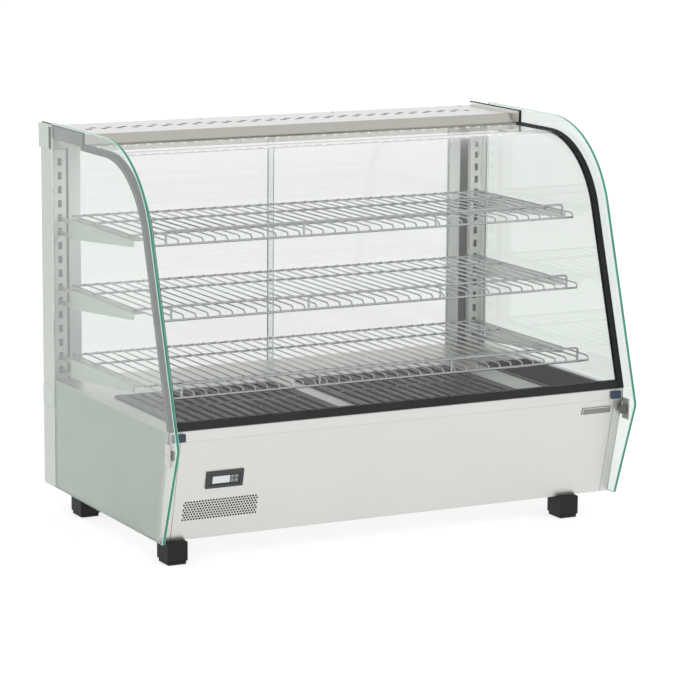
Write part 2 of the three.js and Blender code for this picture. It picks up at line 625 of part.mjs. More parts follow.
// ---- Assembly ----
add('base_tray', baseTray(), 'steel');
add('front_panel', frontPanel(), 'steel');
add('rear_panel', rearPanel(), 'steel');
add('deck', deck(), 'steel');

const FEET = {
  foot_front_left: [-415, -219], foot_front_right: [321, -219], foot_rear_left: [-415, 143], foot_rear_right: [321, 143],
};
Object.entries(FEET).forEach(([name, corner]) => add(name, foot(corner), 'rubber'));

add('heater_element', heaterElement(), 'steel');
add('fan_housing', fanHousing(), 'blackPlastic');
add('fan_rotor', fanRotor(), 'blackPlastic');

add('controller_housing', controllerHousing(), 'blackPlastic');
add('controller_lens', controllerLens(), 'display');
BUTTONS.y.forEach((y, row) => BUTTONS.x.forEach((x, column) =>
  add(`controller_button_${row * BUTTONS.x.length + column + 1}`, controllerButton(x, y), 'greyPlastic')));
add('badge_plate', onPanel(new THREE.BoxGeometry(57, 12, 1).translate(0, 0, 0.5 + GAP), 372.5, 190.8), 'aluminium');
add('switch_plate', switchPlate(), 'blackPlastic');
add('power_rocker', rocker(SWITCHES.x[0]), 'blackPlastic');
add('light_rocker', rocker(SWITCHES.x[1]), 'blackPlastic');
add('cable_gland', cableGland(), 'blackPlastic');

add('front_glass', frontGlass(), 'glass');
add('seal_bottom', bottomSeal(), 'rubber');
add('top_panel', topPanel(), 'steel');
add('led_lamp', ledLamp(), 'lamp');
add('door_track_upper', doorTrack(TRACK_Z.upper, TRACK_Z.upperTop, REAR,
  [TRACK_Z.upper - 1, TRACK_Z.upper + GROOVE.upperDepth]), 'aluminium');
add('door_track_lower', doorTrack(TRACK_Z.lower, TRACK_Z.lowerTop, LOWER_TRACK_REAR,
  [TRACK_Z.lowerTop - GROOVE.lowerDepth, TRACK_Z.lowerTop + 1]), 'aluminium');

Object.entries(SIDES).forEach(([name, side]) => {
  const doorY = side < 0 ? DOOR_Y.outer : DOOR_Y.inner;
  add(`side_glass_${name}`, sideGlass(side), 'glass');
  add(`seal_${name}`, sideSeal(side), 'rubber');
  add(`glass_clamp_${name}`, glassClamp(side), 'aluminium');
  add(`sill_corner_${name}`, sillCorner(side), 'bluePlastic');
  add(`rear_post_${name}`, rearPost(side), 'steel');
  add(`shelf_standard_${name}`, shelfStandard(side), 'steel');
  add(`track_cap_upper_${name}`, upperTrackCap(side), 'greyPlastic');
  add(`track_cap_lower_${name}`, lowerTrackCap(side), 'greyPlastic');
  add(`door_${name}`, doorGlass(side, doorY), 'glass');
  add(`door_pull_${name}`, doorPull(side, doorY), 'aluminium');
  Object.entries(SHELF_LEVELS).forEach(([place, level]) =>
    add(`shelf_bracket_${place}_${name}`, shelfBracket(side, level), 'steel'));
});

Object.entries(SHELF_LEVELS).forEach(([place, level]) =>
  add(`shelf_${place}`, wireShelf(level, SHELF_FRONTS[place]), 'chrome'));
add('floor_grille_left', floorGrille(FLOOR_BAYS.left), 'blackSteel');
add('floor_grille_right', floorGrille(FLOOR_BAYS.right), 'blackSteel');
add('water_pan', waterPan(FLOOR_BAYS.pan), 'blackSteel');

export default displayCase;
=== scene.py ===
"""Looks for the countertop hot food display case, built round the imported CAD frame.

Metres, +Z up, and the front faces -Y.
"""

import math

import bmesh
import bpy
from mathutils import Matrix, Vector


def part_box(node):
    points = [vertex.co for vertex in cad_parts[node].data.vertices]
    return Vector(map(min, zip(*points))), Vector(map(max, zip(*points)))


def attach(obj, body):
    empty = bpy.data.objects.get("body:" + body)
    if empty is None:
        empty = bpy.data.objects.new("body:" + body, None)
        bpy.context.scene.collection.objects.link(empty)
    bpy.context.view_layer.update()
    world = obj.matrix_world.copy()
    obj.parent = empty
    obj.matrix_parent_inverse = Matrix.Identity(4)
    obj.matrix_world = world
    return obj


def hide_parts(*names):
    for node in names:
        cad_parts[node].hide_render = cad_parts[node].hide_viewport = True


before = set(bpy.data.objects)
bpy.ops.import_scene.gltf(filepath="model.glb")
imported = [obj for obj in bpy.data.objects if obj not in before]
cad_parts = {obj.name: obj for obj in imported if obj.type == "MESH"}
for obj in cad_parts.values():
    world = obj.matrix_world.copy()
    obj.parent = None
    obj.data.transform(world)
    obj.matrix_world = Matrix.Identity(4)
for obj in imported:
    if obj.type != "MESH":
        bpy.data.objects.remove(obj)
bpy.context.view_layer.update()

MM = 0.001
CASE = "case"
SIDES = {"left": -1, "right": 1}

# ---- Measures shared by several pieces, taken from the CAD nodes ----
glass_low, glass_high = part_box("side_glass_right")
INNER_X = glass_low[0]
OUTER_X = glass_high[0]
GLASS_BOTTOM = glass_low[2]
GLASS_TOP = glass_high[2]
GLASS_REAR = glass_high[1]
KNEE_Y = glass_low[1]
GAP = 0.3 * MM
SHEET = 1.5 * MM
LEAN = math.radians(17.1)
CHIN = math.radians(20)
KNEE_RADIUS = 14 * MM
TOP_RADIUS = 191.5 * MM
KNEE = Vector((KNEE_Y + KNEE_RADIUS, 203 * MM))
CROWN_Z = GLASS_TOP - TOP_RADIUS
CROWN_RUN = (TOP_RADIUS - KNEE_RADIUS + (CROWN_Z - KNEE.y) * math.sin(LEAN)) / math.cos(LEAN)
CROWN = Vector((KNEE.x + CROWN_RUN, CROWN_Z))

# The front panel leans out from its foot to the fold and stands upright above it.
panel_low, panel_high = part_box("front_panel")
LINER_X = panel_high[0]
FOLD_Z = 208 * MM
PANEL_BASE_Y = -208 * MM
PANEL_TILT = math.atan2(PANEL_BASE_Y - panel_low[1], FOLD_Z - panel_low[2])
RETURN = 11 * MM


# ---- Meshes ----
def link(name, mesh, materials, body=CASE, replaces=()):
    obj = bpy.data.objects.new(name, mesh)
    bpy.context.collection.objects.link(obj)
    for item in materials:
        mesh.materials.append(item)
    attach(obj, body)
    if replaces:
        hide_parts(*replaces)
    return obj


def soften(obj, width, segments=2, angle=30):
    bevel = obj.modifiers.new("edges", "BEVEL")
    bevel.width = width
    bevel.segments = segments
    bevel.limit_method = "ANGLE"
    bevel.angle_limit = math.radians(angle)
    return obj


def smooth(mesh, angle=30):
    mesh.shade_smooth()
    mesh.set_sharp_from_angle(angle=math.radians(angle))


def prism_mesh(name, outline, low, high, place):
    """A closed outline drawn out from low to high; place turns (a, b, depth) into a point."""
    mesh = bpy.data.meshes.new(name)
    count = len(outline)
    points = [place(a, b, low) for a, b in outline] + [place(a, b, high) for a, b in outline]
    faces = [[i, (i + 1) % count, count + (i + 1) % count, count + i] for i in range(count)]
    faces += [list(range(count))[::-1], [count + i for i in range(count)]]
    mesh.from_pydata(points, [], faces)
    tidy = bmesh.new()
    tidy.from_mesh(mesh)
    bmesh.ops.recalc_face_normals(tidy, faces=tidy.faces)
    tidy.to_mesh(mesh)
    tidy.free()
    return mesh


def along_x(y, z, x):
    return (x, y, z)


def along_z(x, y, z):
    return (x, y, z)


def join_meshes(name, meshes):
    tidy = bmesh.new()
    for mesh in meshes:
        tidy.from_mesh(mesh)
    joined = bpy.data.meshes.new(name)
    tidy.to_mesh(joined)
    tidy.free()
    return joined


def block_mesh(name, low, high):
    outline = [(low[0], low[1]), (high[0], low[1]), (high[0], high[1]), (low[0], high[1])]
    return prism_mesh(name, outline, low[2], high[2], along_z)


def plate_mesh(name, outline, holes, thickness, matrix, bevel=0.0):
    """A flat plate with real holes, in its own plane, then placed by matrix."""
    curve = bpy.data.curves.new(name, "CURVE")
    curve.dimensions = "2D"
    curve.fill_mode = "BOTH"
    curve.extrude = thickness / 2 - bevel
    curve.bevel_depth = bevel
    curve.bevel_resolution = 1
    curve.offset = -bevel
    for loop in (outline, *holes):
        spline = curve.splines.new("POLY")
        spline.points.add(len(loop) - 1)
        spline.use_cyclic_u = True
        for point, (a, b) in zip(spline.points, loop):
            point.co = (a, b, 0, 1)
    maker = bpy.data.objects.new(name, curve)
    bpy.context.collection.objects.link(maker)
    graph = bpy.context.evaluated_depsgraph_get()
    mesh = bpy.data.meshes.new_from_object(maker.evaluated_get(graph))
    mesh.transform(matrix)
    bpy.data.objects.remove(maker)
    weld = bmesh.new()
    weld.from_mesh(mesh)
    bmesh.ops.remove_doubles(weld, verts=weld.verts, dist=1e-6)
    weld.to_mesh(mesh)
    weld.free()
    mesh.name = name
    return mesh


def wire_mesh(name, runs, sides=3):
    """Round wires: runs are (points, radius)."""
    curve = bpy.data.curves.new(name, "CURVE")
    curve.dimensions = "3D"
    curve.bevel_depth = 1.0
    curve.bevel_resolution = sides
    curve.use_fill_caps = True
    for points, radius in runs:
        spline = curve.splines.new("POLY")
        spline.points.add(len(points) - 1)
        for point, place in zip(spline.points, points):
            point.co = (*place, 1)
            point.radius = radius
    maker = bpy.data.objects.new(name, curve)
    bpy.context.collection.objects.link(maker)
    graph = bpy.context.evaluated_depsgraph_get()
    mesh = bpy.data.meshes.new_from_object(maker.evaluated_get(graph))
    bpy.data.objects.remove(maker)
    mesh.name = name
    smooth(mesh, 50)
    return mesh


def spin_mesh(name, profile, centre, axis, steps=24):
    """A turned piece: profile holds (radius, height) pairs along axis from centre."""
    turned = bmesh.new()
    turn = Vector((0, 0, 1)).rotation_difference(Vector(axis)).to_matrix().to_4x4()
    place = Matrix.Translation(centre) @ turn
    rings = []
    for radius, height in profile:
        if radius == 0:
            rings.append([turned.verts.new(place @ Vector((0, 0, height)))])
            continue
        angles = [2 * math.pi * i / steps for i in range(steps)]
        ring = [Vector((radius * math.cos(t), radius * math.sin(t), height)) for t in angles]
        rings.append([turned.verts.new(place @ point) for point in ring])
    for a, b in zip(rings, rings[1:]):
        for i in range(steps):
            j = (i + 1) % steps
            corners = [a[i % len(a)], a[j % len(a)], b[j % len(b)], b[i % len(b)]]
            unique = list(dict.fromkeys(corners))
            if len(unique) > 2:
                turned.faces.new(unique)
    bmesh.ops.recalc_face_normals(turned, faces=turned.faces)
    mesh = bpy.data.meshes.new(name)
    turned.to_mesh(mesh)
    turned.free()
    smooth(mesh, 40)
    return mesh


# ---- Materials ----
def principled(name, color, metallic, roughness):
    made = bpy.data.materials.new(name)
    made.use_nodes = True
    shader = made.node_tree.nodes["Principled BSDF"]
    shader.inputs["Base Color"].default_value = (*color, 1)
    shader.inputs["Metallic"].default_value = metallic
    shader.inputs["Roughness"].default_value = roughness
    return made, shader


def grain(made, scale, stretch, detail=3.0):
    """A noise field in the object's own coordinates, stretched along the axes."""
    nodes = made.node_tree.nodes
    links = made.node_tree.links
    place = nodes.new("ShaderNodeTexCoord")
    mapping = nodes.new("ShaderNodeMapping")
    mapping.inputs["Scale"].default_value = stretch
    noise = nodes.new("ShaderNodeTexNoise")
    noise.inputs["Scale"].default_value = scale
    noise.inputs["Detail"].default_value = detail
    links.new(place.outputs["Object"], mapping.inputs["Vector"])
    links.new(mapping.outputs["Vector"], noise.inputs["Vector"])
    return noise.outputs["Fac"]


def spread(made, source, low, high, start=0.3, end=0.7):
    node = made.node_tree.nodes.new("ShaderNodeMapRange")
    node.inputs["From Min"].default_value = start
    node.inputs["From Max"].default_value = end
    node.inputs["To Min"].default_value = low
    node.inputs["To Max"].default_value = high
    made.node_tree.links.new(source, node.inputs["Value"])
    return node.outputs["Result"]


def tint(made, shader, source, color_a, color_b):
    node = made.node_tree.nodes.new("ShaderNodeMix")
    node.data_type = "RGBA"
    node.inputs["A"].default_value = (*color_a, 1)
    node.inputs["B"].default_value = (*color_b, 1)
    made.node_tree.links.new(source, node.inputs["Factor"])
    made.node_tree.links.new(node.outputs["Result"], shader.inputs["Base Color"])


def relief(made, shader, source, strength, distance):
    node = made.node_tree.nodes.new("ShaderNodeBump")
    node.inputs["Strength"].default_value = strength
    node.inputs["Distance"].default_value = distance
    made.node_tree.links.new(source, node.inputs["Height"])
    made.node_tree.links.new(node.outputs["Normal"], shader.inputs["Normal"])


GRAIN_DEPTH = 0.2 * MM


def brushed(name, color, roughness, stretch, depth):
    made, shader = principled(name, color, 1.0, roughness)
    strokes = grain(made, 1.0, stretch, 4.0)
    clouds = grain(made, 9.0, (1, 1, 1), 2.0)
    uneven = spread(made, strokes, roughness - 0.04, roughness + 0.06)
    made.node_tree.links.new(uneven, shader.inputs["Roughness"])
    tint(made, shader, clouds, [c * 0.97 for c in color], [min(1, c * 1.02) for c in color])
    relief(made, shader, strokes, depth, GRAIN_DEPTH)
    return made


def coated(name, color, roughness, grain_scale, strength, metallic=0.0, darker=0.82, shine=0.5):
    made, shader = principled(name, color, metallic, roughness)
    shader.inputs["Specular IOR Level"].default_value = shine
    fine = grain(made, grain_scale, (1, 1, 1), 3.0)
    clouds = grain(made, 14.0, (1, 1, 1), 2.0)
    tint(made, shader, clouds, [c * darker for c in color], color)
    uneven = spread(made, clouds, roughness - 0.06, roughness + 0.08)
    made.node_tree.links.new(uneven, shader.inputs["Roughness"])
    relief(made, shader, fine, strength, GRAIN_DEPTH)
    return made


def clear_glass(name, color, roughness=0.004):
    made, shader = principled(name, color, 0.0, roughness)
    shader.inputs["Transmission Weight"].default_value = 1.0
    shader.inputs["IOR"].default_value = 1.5
    smears = grain(made, 6.0, (1, 1, 2.5), 3.0)
    tint(made, shader, smears, [c * 0.985 for c in color], color)
    return made


STEEL_X = brushed("steel_brushed_x", (0.77, 0.765, 0.745), 0.34, (5, 700, 700), 0.05)
POST_STEEL = brushed("steel_post", (0.53, 0.555, 0.52), 0.36, (700, 700, 5), 0.05)
STANDARD_STEEL = coated("steel_standard", (0.87, 0.89, 0.86), 0.4, 700, 0.04, darker=0.96)
STEEL_Y = brushed("steel_brushed_y", (0.66, 0.67, 0.65), 0.34, (700, 5, 700), 0.06)
PANEL_STEEL = brushed("steel_front", (0.655, 0.655, 0.63), 0.38, (5, 700, 700), 0.04)
TRAY_STEEL = coated("steel_tray", (0.60, 0.635, 0.60), 0.42, 500, 0.05, metallic=0.35, darker=0.95)
ROOF_STEEL = brushed("steel_roof", (0.75, 0.75, 0.74), 0.36, (5, 700, 700), 0.05)
FASCIA_STEEL = brushed("steel_fascia", (0.47, 0.46, 0.415), 0.34, (5, 700, 700), 0.05)
# Painted shade: a darker copy of the end plates' steel, for all but their inner faces.
SHADED_END_STEEL = coated("steel_end_painted_shade", (0.24, 0.285, 0.27), 0.38, 500, 0.06, metallic=0.3, darker=0.85)
CHROME = brushed("chrome_wire", (0.56, 0.57, 0.575), 0.17, (60, 60, 60), 0.03)
ALUMINIUM = brushed("aluminium_satin", (0.62, 0.635, 0.63), 0.36, (8, 700, 700), 0.06)
PULL_STEEL = coated("pull_satin", (0.86, 0.88, 0.86), 0.4, 700, 0.04, darker=0.96)
BADGE = brushed("badge_satin", (0.25, 0.25, 0.235), 0.36, (8, 700, 700), 0.06)
CLAMP = coated("clamp_coated", (0.60, 0.56, 0.56), 0.45, 700, 0.05, darker=0.95)
PAD = coated("clamp_pad", (0.14, 0.145, 0.14), 0.5, 700, 0.1)
SCREW = brushed("screw_steel", (0.62, 0.62, 0.61), 0.30, (300, 300, 300), 0.05)
CLEAR = clear_glass("glass_clear", (0.875, 0.885, 0.875))
SIDE_CLEAR = clear_glass("glass_clear_side", (0.80, 0.855, 0.82))
EDGE_GLASS = coated("glass_edge", (0.055, 0.28, 0.20), 0.16, 300, 0.04, darker=0.55)
# Painted highlight: a pale green on the chamfers of the glass edges.
CHAMFER_HIGHLIGHT = coated("glass_chamfer_highlight", (0.62, 0.86, 0.76), 0.2, 300, 0.03, darker=0.9)
RUBBER = coated("rubber_seal", (0.007, 0.0075, 0.008), 0.7, 700, 0.15)
ADHESIVE = coated("seal_adhesive", (0.15, 0.145, 0.135), 0.6, 700, 0.1)
FOOT = coated("rubber_foot", (0.016, 0.014, 0.013), 0.6, 600, 0.25, shine=0.25)
BLACK = coated("plastic_black", (0.025, 0.026, 0.028), 0.42, 1100, 0.15)
BEZEL = coated("plastic_bezel", (0.035, 0.037, 0.039), 0.42, 1100, 0.12)
GREY = coated("plastic_grey", (0.22, 0.24, 0.24), 0.42, 1100, 0.10, darker=0.92)
CAP = coated("plastic_cap", (0.52, 0.57, 0.53), 0.42, 1100, 0.10, darker=0.94)
BLUE = coated("plastic_blue", (0.02, 0.045, 0.08), 0.4, 1100, 0.12)
GRILLE = coated("steel_coated", (0.030, 0.033, 0.031), 0.4, 800, 0.16, metallic=0.3, shine=0.35)
# Painted shade: a dark colour for the shade in the pull recesses and in the gap beside the upper track caps.
PAINTED_RECESS_SHADE = coated("painted_recess_shade", (0.16, 0.165, 0.155), 0.5, 700, 0.15)
HEATER = coated("heater_tube", (0.16, 0.14, 0.13), 0.5, 500, 0.2, metallic=0.8)
LENS = coated("display_lens", (0.64, 0.68, 0.69), 0.12, 400, 0.02, darker=0.94)
DIFFUSER = coated("lamp_diffuser", (0.80, 0.78, 0.72), 0.4, 500, 0.05, darker=0.92)
LIGHT = coated("led_light", (1.0, 0.97, 0.9), 0.4, 500, 0.02, darker=0.98)
for glowing, strength in ((DIFFUSER, 0.55), (LIGHT, 1.8)):
    glow = glowing.node_tree.nodes["Principled BSDF"].inputs
    glow["Emission Color"].default_value = (1.0, 0.96, 0.86, 1)
    glow["Emission Strength"].default_value = strength


# ---- CAD nodes that keep their shape ----
def dress(node, made, width=0.0, segments=2):
    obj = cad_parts[node]
    obj.data.materials.clear()
    obj.data.materials.append(made)
    weld = obj.modifiers.new("weld", "WELD")
    weld.merge_threshold = 1e-6
    if width:
        soften(obj, width, segments)
    return obj


def two_tone(node, outside, inside, is_inside, width=0.0):
    """Second material on the faces of a node whose centres pass the test."""
    obj = dress(node, outside, width)
    obj.data.materials.append(inside)
    for face in obj.data.polygons:
        face.material_index = int(is_inside(obj.matrix_world @ face.center))


def dress_case():
    dress("base_tray", TRAY_STEEL, 0.4 * MM)
    dress("rear_panel", STEEL_X, 0.4 * MM)
    dress("deck", STEEL_X)
    for node in ("door_track_upper", "door_track_lower"):
        dress(node, ALUMINIUM, 0.6 * MM)
    for end in ("front_left", "front_right", "rear_left", "rear_right"):
        dress(f"foot_{end}", FOOT, 1.6 * MM, 3)
    dress("seal_bottom", RUBBER, 0.6 * MM)
    dress("heater_element", HEATER)
    dress("fan_housing", BLACK, 0.6 * MM)
    dress("fan_rotor", BLACK, 0.3 * MM)
    dress("controller_housing", BEZEL, 0.5 * MM, 3)
    dress("controller_lens", LENS, 0.2 * MM)
    for number in range(1, 5):
        dress(f"controller_button_{number}", GREY, 0.7 * MM, 3)
    dress("badge_plate", BADGE, 0.3 * MM)
    dress("switch_plate", BLACK, 0.8 * MM, 3)
    for node in ("power_rocker", "light_rocker"):
        dress(node, BLACK, 0.6 * MM, 3)
    dress("cable_gland", BLACK, 0.4 * MM)
    for side in SIDES:
        seal_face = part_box(f"seal_{side}")[1 if side == "right" else 0][0]
        two_tone(f"seal_{side}", RUBBER, ADHESIVE, lambda centre: abs(centre.x - seal_face) < 0.2 * MM)
        two_tone(f"glass_clamp_{side}", CLAMP, PAD, lambda centre: abs(centre.x) < INNER_X)
        dress(f"sill_corner_{side}", BLUE, 0.8 * MM, 3)
        post_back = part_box(f"rear_post_{side}")[1][1] - 0.5 * MM
        # The post's front and inner faces take the bright standard colour: a painted reflection along its
        # front lip.
        two_tone(f"rear_post_{side}", POST_STEEL, STANDARD_STEEL,
                 lambda centre: abs(centre.x) < OUTER_X - 0.5 * MM and centre.y < post_back, 0.5 * MM)
        dress(f"shelf_standard_{side}", STANDARD_STEEL, 0.3 * MM)
        dress(f"track_cap_upper_{side}", CAP, 1.8 * MM, 3)
        dress(f"track_cap_lower_{side}", CAP, 0.7 * MM, 3)
        dress(f"door_pull_{side}", PULL_STEEL, 0.3 * MM)
        for place in ("top", "middle", "bottom"):
            dress(f"shelf_bracket_{place}_{side}", STEEL_Y, 0.35 * MM)


# ---- Side profile ----
def arc(centre, radius, start, end, steps):
    angles = [start + (end - start) * i / steps for i in range(steps + 1)]
    return [(centre.x + radius * math.cos(t), centre.y + radius * math.sin(t)) for t in angles]


def front_y(z, inset):
    return CROWN.x + ((z - CROWN.y) * math.sin(LEAN) - (TOP_RADIUS - inset)) / math.cos(LEAN)


def chin_y(z, inset):
    return KNEE.x + ((KNEE.y - z) * math.sin(CHIN) - (KNEE_RADIUS - inset)) / math.cos(CHIN)


def side_outline(inset, bottom, rear, steps=40):
    """The side glass's outline, moved in by inset on its front and top, from a level bottom to the rear."""
    points = [(chin_y(bottom, inset), bottom), (rear, bottom), (rear, GLASS_TOP - inset)]
    points += arc(CROWN, TOP_RADIUS - inset, math.pi / 2, math.pi - LEAN, steps)
    if inset < KNEE_RADIUS:
        points += arc(KNEE, KNEE_RADIUS - inset, math.pi - LEAN, math.pi + CHIN, 8)
    return points


def band_outline(outer, inner, bottom, end, steps=40):
    points = [(front_y(bottom, inner), bottom), (front_y(bottom, outer), bottom)]
    points += arc(CROWN, TOP_RADIUS - outer, math.pi - LEAN, math.pi / 2, steps)
    points += [(end, GLASS_TOP - outer), (end, GLASS_TOP - inner)]
    points += arc(CROWN, TOP_RADIUS - inner, math.pi / 2, math.pi - LEAN, steps)
    return points


def no_shadow(obj):
    obj.visible_shadow = False
    return obj


# ---- Glass ----
EDGE = 1
BEVELLED = 2


def glaze(name, mesh, clear, bevel, body, node):
    """A pane: clear faces, green where its polished edges were marked, and a pale painted highlight along the
    chamfers.
    """
    pane = link(name, mesh, (clear, EDGE_GLASS, CHAMFER_HIGHLIGHT), body, (node,))
    soften(pane, bevel, 1).modifiers["edges"].material = BEVELLED
    return no_shadow(pane)


def side_glasses():
    for name, side in SIDES.items():
        low, high = sorted((side * INNER_X, side * OUTER_X))
        mesh = prism_mesh(f"side_pane_{name}", side_outline(0, GLASS_BOTTOM, GLASS_REAR), low, high, along_x)
        for face in mesh.polygons:
            if abs(face.normal.x) < 0.5 and (face.normal.y < -0.1 or face.normal.z > 0.5):
                face.material_index = EDGE
        smooth(mesh)
        glaze(f"side_pane_{name}", mesh, SIDE_CLEAR, 0.8 * MM, CASE, f"side_glass_{name}")


def front_pane():
    low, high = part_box("front_glass")
    outline = band_outline(26 * MM, 31 * MM, low[2], high[1], 48)
    mesh = prism_mesh("front_pane", outline, low[0], high[0], along_x)
    smooth(mesh)
    for face in mesh.polygons:
        upper_end = face.normal.y > 0.99 and face.center.y > high[1] - 1 * MM
        lower_end = face.normal.z < -0.99 and face.center.z < low[2] + 1 * MM
        if upper_end or lower_end:
            face.material_index = EDGE
    no_shadow(link("front_pane", mesh, (CLEAR, EDGE_GLASS), replaces=("front_glass",)))


def doors():
    for name in SIDES:
        mesh = block_mesh(f"door_pane_{name}", *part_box(f"door_{name}"))
        for face in mesh.polygons:
            if abs(face.normal.x) > 0.5:
                face.material_index = EDGE
        glaze(f"door_pane_{name}", mesh, CLEAR, 0.5 * MM, f"{name}_door", f"door_{name}")


# Section of a door pull: bright flat by the pane, ribbed recess whose dark strips are painted shade, narrow
# edge, and the grip that stands out behind.
PULL = {"flat": 22 * MM, "edge": 3 * MM, "grip": 3.4 * MM, "ribs": 5, "rib_half": 1.2 * MM, "end": 1 * MM}
# Depths below the pull's face at which its ribs start, its strip starts and its strip ends.
RIB_FACE, STRIP_FACE, STRIP_BACK = 0.05 * MM, 0.2 * MM, 0.79 * MM


def ribbed_strip(x0, x1, strip_y, rib_y, bottom, top):
    pitch = (x1 - x0) / PULL["ribs"]
    meshes = [block_mesh("strip", (x0, strip_y[0], bottom), (x1, strip_y[1], top))]
    for i in range(PULL["ribs"]):
        middle = x0 + pitch * (i + 0.5)
        rib_low = (middle - PULL["rib_half"], rib_y[0], bottom)
        rib_high = (middle + PULL["rib_half"], rib_y[1], top)
        meshes.append(block_mesh("rib", rib_low, rib_high))
    return meshes


def pull_recess_shades():
    """Ribbed strips in the recesses of the door pulls, on both faces, coloured dark as painted shade of the
    recess.
    """
    for name, side in SIDES.items():
        low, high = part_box(f"door_pull_{name}")
        inner, outer = (high[0], low[0]) if side < 0 else (low[0], high[0])
        x0, x1 = sorted((inner + side * (PULL["flat"] + GAP), outer - side * (PULL["edge"] + GAP)))
        bottom, top = low[2] + PULL["end"], high[2] - PULL["end"]
        front, rear = low[1], high[1] - PULL["grip"]
        strips = ribbed_strip(x0, x1, (front + STRIP_FACE, front + STRIP_BACK),
                              (front + RIB_FACE, front + STRIP_FACE), bottom, top)
        strips += ribbed_strip(x0, x1, (rear - STRIP_BACK, rear - STRIP_FACE),
                               (rear - STRIP_FACE, rear - RIB_FACE), bottom, top)
        link(f"painted_recess_shade_{name}", join_meshes(f"painted_recess_shade_{name}", strips), (PAINTED_RECESS_SHADE,), f"{name}_door")


# ---- Front panel ----
def panel_matrix(x, z, out=0.0):
    """X to the right, Y up the slope, Z out of the panel."""
    y = PANEL_BASE_Y - (z - panel_low[2]) * math.tan(PANEL_TILT)
    turn = Matrix.Rotation(math.pi / 2 + PANEL_TILT, 4, "X")
    return Matrix.Translation((x, y, z)) @ turn @ Matrix.Translation((0, 0, out))


def rectangle(x0, x1, y0, y1):
    return [(x0, y0), (x1, y0), (x1, y1), (x0, y1)]


def circle(x, y, radius, steps=12):
    return [(x + radius * math.cos(2 * math.pi * i / steps), y + radius * math.sin(2 * math.pi * i / steps))
            for i in range(steps)]


def up_panel(z):
    """Distance up the slope of the front panel, from its foot, to the height z."""
    return (z - panel_low[2]) / math.cos(PANEL_TILT)


VENT = {
    "x": (-388 * MM, -256 * MM), "z": (73 * MM, 103 * MM), "pitch": 5.0 * MM, "rows": 8, "radius": 1.8 * MM,
    "room": 4 * MM,
}
CONTROLLER_Z = 138.7 * MM
CONTROLLER_CAN = (60.4 * MM, 22.8 * MM)
SEAM_X = 406 * MM
CUT_ROOM = 0.6 * MM
PANEL_EDGE = 0.15 * MM


def vent_holes():
    left, right = VENT["x"]
    bottom, top = VENT["z"]
    holes = []
    for row in range(VENT["rows"]):
        z = bottom + (top - bottom) * row / (VENT["rows"] - 1)
        x = left + (row % 2) * VENT["pitch"] / 2
        while x <= right:
            holes.append(circle(x, up_panel(z), VENT["radius"], 8))
            x += VENT["pitch"]
    return holes


def in_vent(point):
    room = VENT["room"]
    left, right = VENT["x"]
    bottom, top = VENT["z"]
    return left - room < point.x < right + room and bottom - room < point.z < top + room


def sill_outline():
    """Section of the upright strip above the fold and of the lip behind it."""
    front, top, lip = panel_low[1], panel_high[2], 22 * MM
    start = FOLD_Z + 0.2 * MM
    corner = 0.4 * MM
    return [
        (front, start), (front, top - SHEET), (front + corner, top - corner), (front + SHEET, top),
        (front + lip, top), (front + lip, top - SHEET), (front + SHEET, top - SHEET), (front + SHEET, start),
    ]


def return_outline():
    """Side view of the fold that runs back along a side glass."""
    front, top = panel_low[1], panel_high[2] - SHEET
    return [(PANEL_BASE_Y, panel_low[2]), (front, FOLD_Z), (front, top), (front + RETURN, top),
            (front + RETURN, FOLD_Z), (PANEL_BASE_Y + RETURN, panel_low[2])]


def controller_cut():
    low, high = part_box("controller_housing")
    half_width, half_height = [(size + CUT_ROOM) / 2 for size in CONTROLLER_CAN]
    x = (low[0] + high[0]) / 2
    up = up_panel(CONTROLLER_Z)
    return rectangle(x - half_width, x + half_width, up - half_height, up + half_height)


def front_panel():
    """The sheet with its real holes, the sill above it, and the separate strip at each end."""
    top = up_panel(FOLD_Z)
    matrix = panel_matrix(0, panel_low[2], -SHEET / 2)
    outline = rectangle(-SEAM_X + GAP, SEAM_X - GAP, 0, top)
    sheet = plate_mesh("sheet", outline, [controller_cut(), *vent_holes()], SHEET, matrix, PANEL_EDGE)
    # The walls of the vent holes take the black: painted shade inside the holes.
    out = matrix.to_3x3() @ Vector((0, 0, 1))
    for face in sheet.polygons:
        if abs(face.normal.dot(out)) < 0.5 and in_vent(face.center):
            face.material_index = 1
    sill = prism_mesh("sill", sill_outline(), -SEAM_X + GAP, SEAM_X - GAP, along_x)
    joined = join_meshes("front_sheet", [sheet, sill])
    link("front_sheet", joined, (PANEL_STEEL, BLACK), replaces=("front_panel",))
    for name, side in SIDES.items():
        x0, x1 = sorted((side * (SEAM_X + GAP), side * LINER_X))
        strip = plate_mesh("strip", rectangle(x0, x1, 0, top), [], SHEET, matrix, PANEL_EDGE)
        ledge = prism_mesh("ledge", sill_outline(), x0, x1, along_x)
        fold_x = sorted((side * LINER_X, side * (LINER_X - SHEET)))
        fold = prism_mesh("fold", return_outline(), *fold_x, along_x)
        link(f"panel_end_{name}", join_meshes(f"panel_end_{name}", [strip, ledge, fold]), (PANEL_STEEL,))


def badge_border():
    """Raised rim of the blank badge."""
    low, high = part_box("badge_plate")
    width = high[0] - low[0]
    height = (high[2] - low[2]) / math.cos(PANEL_TILT)
    rim = 1.3 * MM
    outer = rectangle(-width / 2, width / 2, -height / 2, height / 2)
    inner = rectangle(rim - width / 2, width / 2 - rim, rim - height / 2, height / 2 - rim)
    matrix = panel_matrix((low[0] + high[0]) / 2, (low[2] + high[2]) / 2, 1.6 * MM)
    link("badge_border", plate_mesh("badge_border", outer, [inner], 0.5 * MM, matrix, 0.1 * MM), (ALUMINIUM,))


